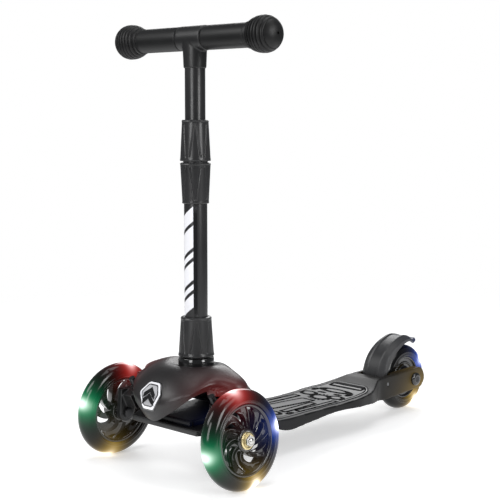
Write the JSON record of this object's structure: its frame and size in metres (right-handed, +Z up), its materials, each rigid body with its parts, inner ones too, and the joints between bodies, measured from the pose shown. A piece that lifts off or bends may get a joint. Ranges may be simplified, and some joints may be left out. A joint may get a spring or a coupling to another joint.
{
  "type": "kick scooter",
  "caption": "Three-wheeled lean-to-steer kick scooter for a small child, with a height-adjustable handlebar, a ribbed deck and a rear foot brake.",
  "frame": {"origin": "on the ground, under the middle of the whole scooter", "axes": "+Z up, the front wheels are towards -Y, X = 0 is the plane of symmetry"},
  "size_m": [0.2756, 0.563, 0.5508],
  "materials": {
    "satin_plastic": "satin, fine moulded grain",
    "gloss_plastic": "glossy black",
    "deck_plastic": "satin, scuffed edges",
    "pad_rubber": "glossy moulded pattern",
    "tyre_clear": "smoky clear polyurethane",
    "grip_rubber": "matt rubber",
    "tube_black": "satin powder coat",
    "steel": "zinc plated",
    "dark_steel": "blackened",
    "brass": "yellow passivated",
    "lamp": "clear LED lamp",
    "badge": "white print on black"
  },
  "bodies": {
    "chassis": {"deck": "deck_plastic", "deck_pad": "pad_rubber", "front_housing": "satin_plastic", "badge_plate": "badge", "bridge_plate": "deck_plastic", "bridge_screws": "dark_steel", "column_socket": "gloss_plastic", "lower_tube": "tube_black", "clamp_sleeve": "satin_plastic", "collet": "satin_plastic", "kingpin_left": "steel", "kingpin_right": "steel", "centring_spring_left": "steel", "centring_spring_right": "steel", "axle_bolt_rear": "steel", "axle_nut_rear": "steel", "axle_spacers_rear": "steel", "brake_pin": "steel"},
    "knuckle_left": {"knuckle_left": "satin_plastic", "axle_bolt_left": "steel", "axle_spacer_left": "steel", "washer_left": "brass", "axle_nut_left": "steel", "tie_pin_left": "steel"},
    "knuckle_right": {"knuckle_right": "satin_plastic", "axle_bolt_right": "steel", "axle_spacer_right": "steel", "washer_right": "brass", "axle_nut_right": "steel", "tie_pin_right": "steel"},
    "tie_rod": {"tie_rod": "dark_steel"},
    "wheel_left": {"hub_left": "gloss_plastic", "tyre_left": "tyre_clear", "bearings_left": "steel", "lamps_left": "lamp"},
    "wheel_right": {"hub_right": "gloss_plastic", "tyre_right": "tyre_clear", "bearings_right": "steel", "lamps_right": "lamp"},
    "wheel_rear": {"hub_rear": "gloss_plastic", "tyre_rear": "tyre_clear", "bearings_rear": "steel", "lamps_rear": "lamp"},
    "handlebar": {"upper_tube": "tube_black", "tee_joint": "satin_plastic", "bar_tube": "steel", "grip_left": "grip_rubber", "grip_right": "grip_rubber", "ball_end_left": "grip_rubber", "ball_end_right": "grip_rubber"},
    "twist_collar": {"twist_collar": "satin_plastic"},
    "base_collar": {"base_collar": "satin_plastic"},
    "brake": {"fender_brake": "satin_plastic"}
  },
  "joints": [
    {"name": "steer_left", "type": "hinge", "parent": "chassis", "child": "knuckle_left", "pos_m": [-0.072, -0.2155, 0.082], "axis": [0, -0.5, 0.866], "range_deg": [-14, 14], "stiffness_Nm_per_rad": 6},
    {"name": "steer_right", "type": "hinge", "parent": "chassis", "child": "knuckle_right", "pos_m": [0.072, -0.2155, 0.082], "axis": [0, -0.5, 0.866], "range_deg": [-14, 14], "stiffness_Nm_per_rad": 6},
    {"name": "tie_rod_pivot", "type": "hinge", "parent": "knuckle_left", "child": "tie_rod", "pos_m": [-0.072, -0.19298, 0.095], "axis": [0, -0.5, 0.866], "range_deg": [-14, 14]},
    {"name": "wheel_left_spin", "type": "hinge", "parent": "knuckle_left", "child": "wheel_left", "pos_m": [-0.1125, -0.2215, 0.05982], "axis": [-0.9962, 0, 0.0872], "continuous": true},
    {"name": "wheel_right_spin", "type": "hinge", "parent": "knuckle_right", "child": "wheel_right", "pos_m": [0.1125, -0.2215, 0.05982], "axis": [0.9962, 0, 0.0872], "continuous": true},
    {"name": "wheel_rear_spin", "type": "hinge", "parent": "chassis", "child": "wheel_rear", "pos_m": [0, 0.2335, 0.048], "axis": [1, 0, 0], "continuous": true},
    {"name": "handlebar_height", "type": "slide", "parent": "chassis", "child": "handlebar", "axis": [0, 0, 1], "range_m": [-0.05, 0.11]},
    {"name": "twist_collar_turn", "type": "hinge", "parent": "chassis", "child": "twist_collar", "pos_m": [0, -0.1855, 0.4], "axis": [0, 0, 1], "range_deg": [0, 60]},
    {"name": "base_collar_turn", "type": "hinge", "parent": "chassis", "child": "base_collar", "pos_m": [0, -0.1855, 0.16], "axis": [0, 0, 1], "range_deg": [0, 90]},
    {"name": "brake_press", "type": "hinge", "parent": "chassis", "child": "brake", "pos_m": [0, 0.1695, 0.05], "axis": [-1, 0, 0], "range_deg": [0, 3.5], "stiffness_Nm_per_rad": 1.5, "springref_deg": -11.46}
  ],
  "couplings": [
    {"joint": "steer_right", "follows": "steer_left", "ratio": 1},
    {"joint": "tie_rod_pivot", "follows": "steer_left", "ratio": -1}
  ]
}
